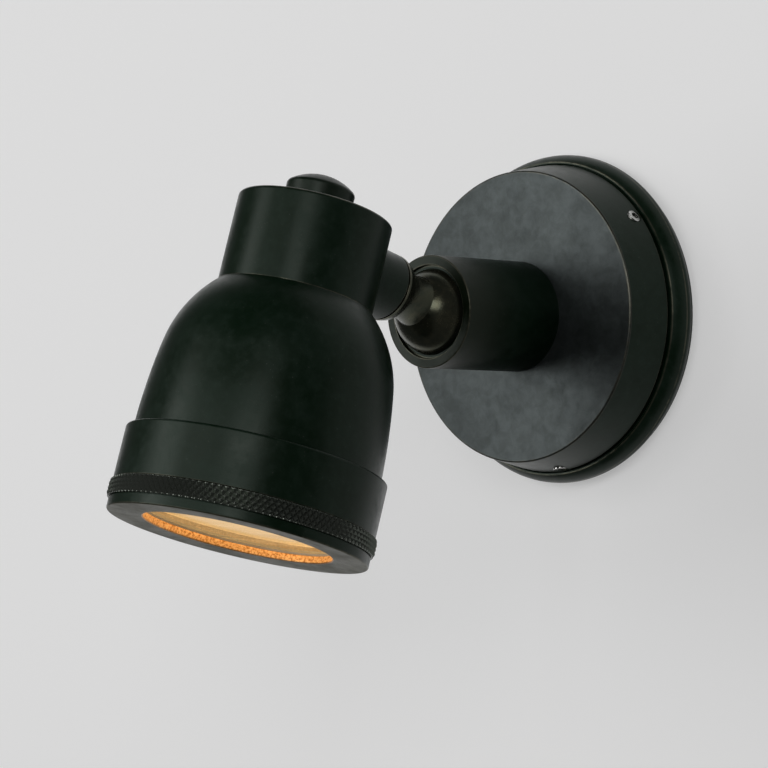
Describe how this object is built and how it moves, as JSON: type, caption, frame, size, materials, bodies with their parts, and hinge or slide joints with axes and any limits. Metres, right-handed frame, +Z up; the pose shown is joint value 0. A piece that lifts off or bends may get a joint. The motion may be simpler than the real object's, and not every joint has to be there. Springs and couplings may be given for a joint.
{
  "type": "pivoting spotlight wall light",
  "caption": "Wall light with a bell-shaped spot head on a ball joint: round plate and canopy, socket tube, short stem, domed cap and a knurled lens ring.",
  "frame": {"origin": "centre of the wall plate's rear face, on the wall", "axes": "+Y points into the wall, the light stands out towards -Y, +Z is up and +X is to the right of someone facing the wall"},
  "size_m": [0.1142, 0.1947, 0.1431],
  "materials": {
    "bronze": "satin",
    "bronze_knurled": "satin",
    "steel": "satin",
    "spring_steel": "satin",
    "brass_bright": "satin",
    "rubber": "matte",
    "black_plastic": "matte",
    "white_plastic": "satin",
    "ceramic": "matte",
    "liner": "satin",
    "lens": "polished",
    "silicone": "matte",
    "lamp_shell": "polished",
    "lamp_glass": "polished",
    "emissive": "emissive"
  },
  "bodies": {
    "fixture": {"wall_plate": "bronze", "cable_grommet": "rubber", "earth_washer": "brass_bright", "earth_screw": "brass_bright", "terminal_block": "white_plastic", "terminal_fixing_screws": "steel", "terminal_clamp_screws": "brass_bright", "canopy": "bronze", "canopy_grub_screws": "steel", "socket_tube": "bronze", "tube_washer": "steel", "tube_nut": "brass_bright", "wire_bush": "black_plastic", "disc_springs": "spring_steel", "thrust_washer": "steel", "retaining_ring": "bronze"},
    "seat": {"friction_seat": "black_plastic"},
    "ball": {"ball_stud": "bronze", "roll_stop_pin": "steel", "seam_washer": "black_plastic", "shank_washer": "black_plastic", "shank_nut": "brass_bright"},
    "head": {"stem_sleeve": "bronze", "saddle_nut": "brass_bright", "lamp_housing": "bronze", "top_cap": "bronze", "cap_stud": "steel", "stud_nut": "steel", "holder_bracket": "steel", "holder_screws": "steel", "lampholder": "ceramic", "inner_liner": "liner", "band_ring": "bronze"},
    "lamp": {"lamp_body": "lamp_shell", "lamp_pins": "brass_bright", "lamp_capsule": "emissive", "lamp_cover": "lamp_glass"},
    "lens_pack": {"lens_glass": "lens", "lens_gasket": "silicone"},
    "screw_ring": {"bezel_ring": "bronze_knurled", "lens_clip": "spring_steel"}
  },
  "joints": [
    {"name": "seat_turn", "type": "hinge", "parent": "fixture", "child": "seat", "pos_m": [0, -0.0665, 0], "axis": [0, -1, 0], "range_deg": [-175, 175]},
    {"name": "stud_tilt", "type": "hinge", "parent": "seat", "child": "ball", "pos_m": [0, -0.0665, 0], "axis": [-1, 0, 0], "range_deg": [-50.93, 19.07]},
    {"name": "head_roll", "type": "hinge", "parent": "ball", "child": "head", "pos_m": [0, -0.0665, 0], "axis": [0, -0.9616, 0.2745], "range_deg": [-169, 169]},
    {"name": "lamp_twist", "type": "hinge", "parent": "head", "child": "lamp", "pos_m": [0, -0.12804, 0.01757], "axis": [0.0434, 0.2742, 0.9607], "range_deg": [0, 22]},
    {"name": "ring_travel", "type": "slide", "parent": "head", "child": "lens_pack", "axis": [-0.0434, -0.2742, -0.9607], "range_m": [0, 0.0068]},
    {"name": "ring_turn", "type": "hinge", "parent": "lens_pack", "child": "screw_ring", "pos_m": [0, -0.12804, 0.01757], "axis": [-0.0434, -0.2742, -0.9607], "range_deg": [0, 1620]}
  ],
  "couplings": [
    {"joint": "ring_travel", "follows": "ring_turn", "m_per_rad": 0.00023873}
  ]
}
